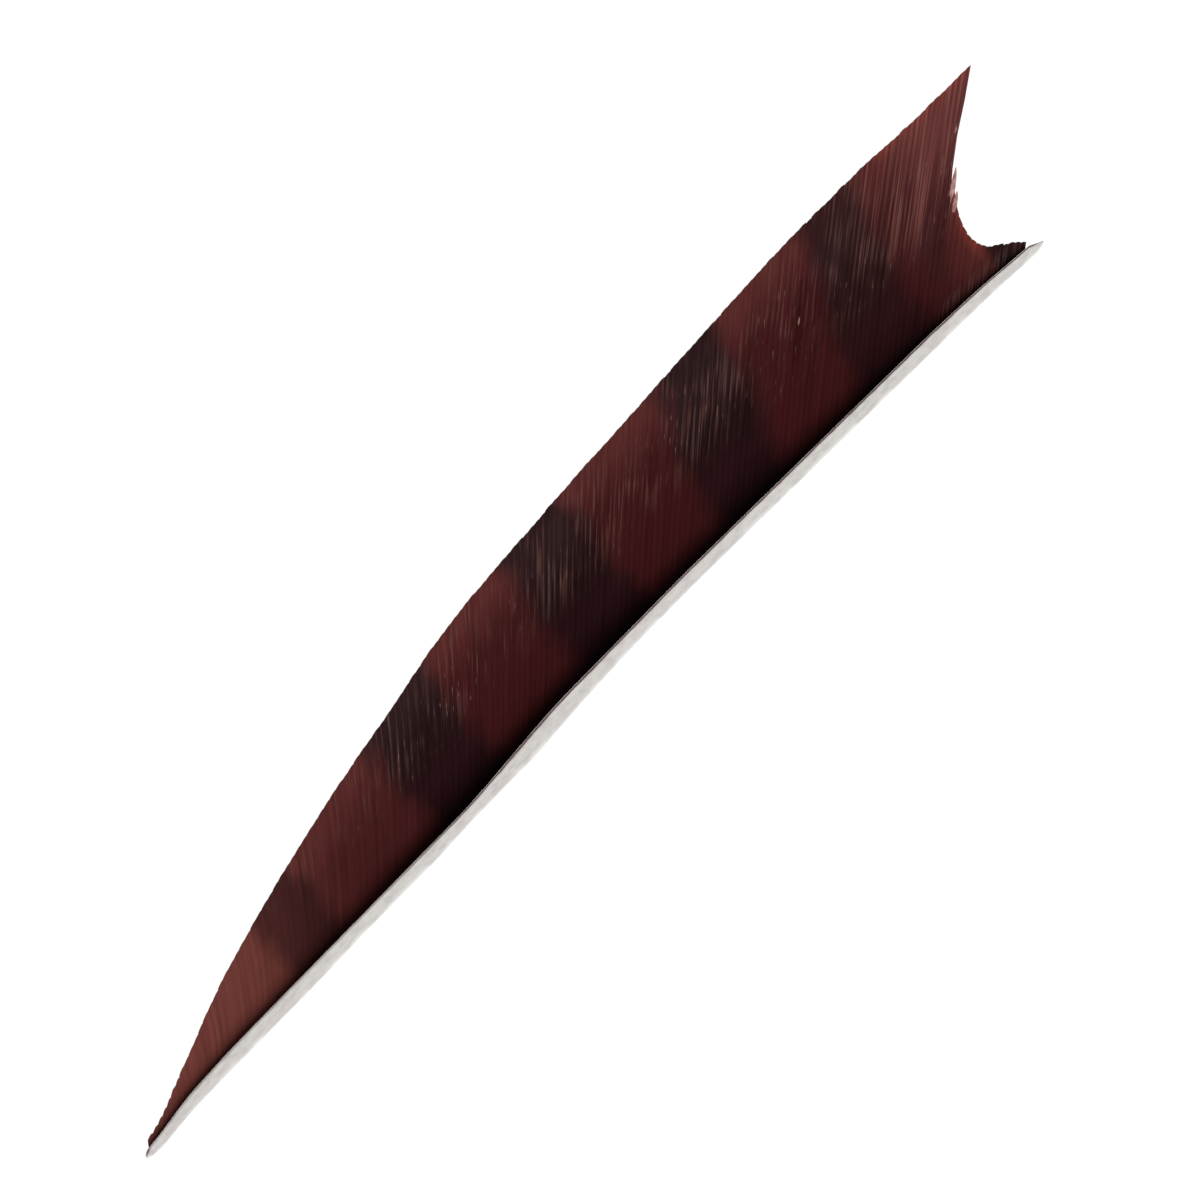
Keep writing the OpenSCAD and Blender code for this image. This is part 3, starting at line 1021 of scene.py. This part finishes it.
# Painted shade: a dark brown line along the top edge, where the base meets the shaded roots of the
# vane.
wavy_top = horn.total(grain_v, horn.product(mottle, 0.06))
top_edge_shade = horn.product(horn.span(wavy_top, 0.85, 0.97), horn.span(x_mm, -28, -10, 0.3, 0.95))
at_tail = horn.product(horn.span(grain_u, 0.994, 0.998), horn.span(grain_v, 0.5, 0.8))
at_nose = horn.product(horn.span(grain_u, 0.008, 0.002), horn.span(grain_v, 0.5, 0.75))
at_tips = horn.product(horn.math("MAXIMUM", at_tail, at_nose), 0.8)
# The same brown serves the painted shade at the top edge and the dye at both tips.
base = horn.mix(horn.math("MAXIMUM", top_edge_shade, at_tips), base, screen(84, 52, 48))
horn.feed(horn.shader.inputs["Base Color"], base)
horn.shader.inputs["Roughness"].default_value = 0.55
horn.shader.inputs["Specular IOR Level"].default_value = 0.3
horn.bump(horn.total(lines, mottle), SANDING_DEPTH, 0.5)
print("horn nodes:", len(horn.tree.nodes))

# %% The pith's finish
CELL_DEPTH = 0.03 * MM
pith = Finish("ground_pith")
point = pith.place()[0]
cells = pith.noise(point, 9.0, 3)
soft = pith.noise(point, 1.2, 2)
foam = pith.mix(pith.span(soft, 0.3, 0.7), screen(216, 210, 199), screen(201, 194, 182))
# Painted shade: the pits of the cells, low in the bump, are painted darker.
foam = pith.mix(pith.span(cells, 0.5, 0.3, 0, 0.6), foam, screen(160, 151, 138))
pith.feed(pith.shader.inputs["Base Color"], foam)
pith.shader.inputs["Roughness"].default_value = 0.9
pith.bump(cells, CELL_DEPTH, 0.8)
for node, piece in quill_pieces.items():
    piece.data.materials.append((pith if node == "pith_core" else horn).material)
print("pith nodes:", len(pith.tree.nodes))

# %% [markdown]
# ## Table, light and camera
#
# The feather lies on a light table, which glows evenly and so shows no shadow. A large soft lamp
# stands at a slant on the side of the base, so the base throws a soft shadow over the roots of the
# barbs, and a pale surround fills the rest. The camera looks straight down with a long lens, turned
# so that the base runs from the lower left to the upper right.

# %% The table
TABLE_GAP = 0.02 * MM
TABLE_HALF_WIDTH = 2.5
bm = bmesh.new()
bmesh.ops.create_grid(bm, x_segments=1, y_segments=1, size=TABLE_HALF_WIDTH)
bmesh.ops.translate(bm, verts=bm.verts, vec=(0, 0, cad_box[0][2] - TABLE_GAP))
table = mesh_piece(bm, "light_table")
glass = Finish("glowing_glass")
glass.shader.inputs["Base Color"].default_value = (0.05, 0.05, 0.05, 1)
glass.shader.inputs["Roughness"].default_value = 0.8
glass.shader.inputs["Specular IOR Level"].default_value = 0.0
glass.shader.inputs["Emission Color"].default_value = (1, 1, 1, 1)
glass.shader.inputs["Emission Strength"].default_value = 1.0
table.data.materials.append(glass.material)
print("table", 2 * TABLE_HALF_WIDTH, "m wide")

# %% Lamp and surround
LAMP_HEIGHT_ANGLE = 55
LAMP_DISTANCE = 0.6
LAMP_ALONG = 0.003
LAMP_WIDTH = 0.42
LAMP_WATTS = 4.6
SURROUND_STRENGTH = 0.2
lamp_data = bpy.data.lights.new("soft_lamp", "AREA")
lamp_data.shape = "DISK"
lamp_data.size = LAMP_WIDTH
lamp_data.energy = LAMP_WATTS
lamp = bpy.data.objects.new("soft_lamp", lamp_data)
angle = math.radians(LAMP_HEIGHT_ANGLE)
lamp.location = (LAMP_ALONG, -LAMP_DISTANCE * math.cos(angle), LAMP_DISTANCE * math.sin(angle))
lamp.rotation_euler = (math.pi / 2 - angle, 0, 0)
bpy.context.scene.collection.objects.link(lamp)
surround = bpy.data.worlds.new("pale_surround")
surround.use_nodes = True
background = surround.node_tree.nodes["Background"]
background.inputs["Color"].default_value = (1, 1, 1, 1)
background.inputs["Strength"].default_value = SURROUND_STRENGTH
bpy.context.scene.world = surround
bpy.context.scene.view_settings.view_transform = "Standard"
print("lamp at", [round(c, 3) for c in lamp.location])

# %% The camera
VIEW_WIDTH = 95.18
VIEW_CENTRE = (5.885, 4.432)
VIEW_TURN = -45.48
LONG_LENS = 300
camera_data = bpy.data.cameras.new("camera")
camera_data.lens = LONG_LENS
camera = bpy.data.objects.new("camera", camera_data)
distance = VIEW_WIDTH * MM * camera_data.lens / camera_data.sensor_width
camera.location = (VIEW_CENTRE[0] * MM, VIEW_CENTRE[1] * MM, distance)
camera.rotation_euler = (0, 0, math.radians(VIEW_TURN))
bpy.context.scene.collection.objects.link(camera)
bpy.context.scene.camera = camera
print("camera", round(distance, 3), "m above the feather")
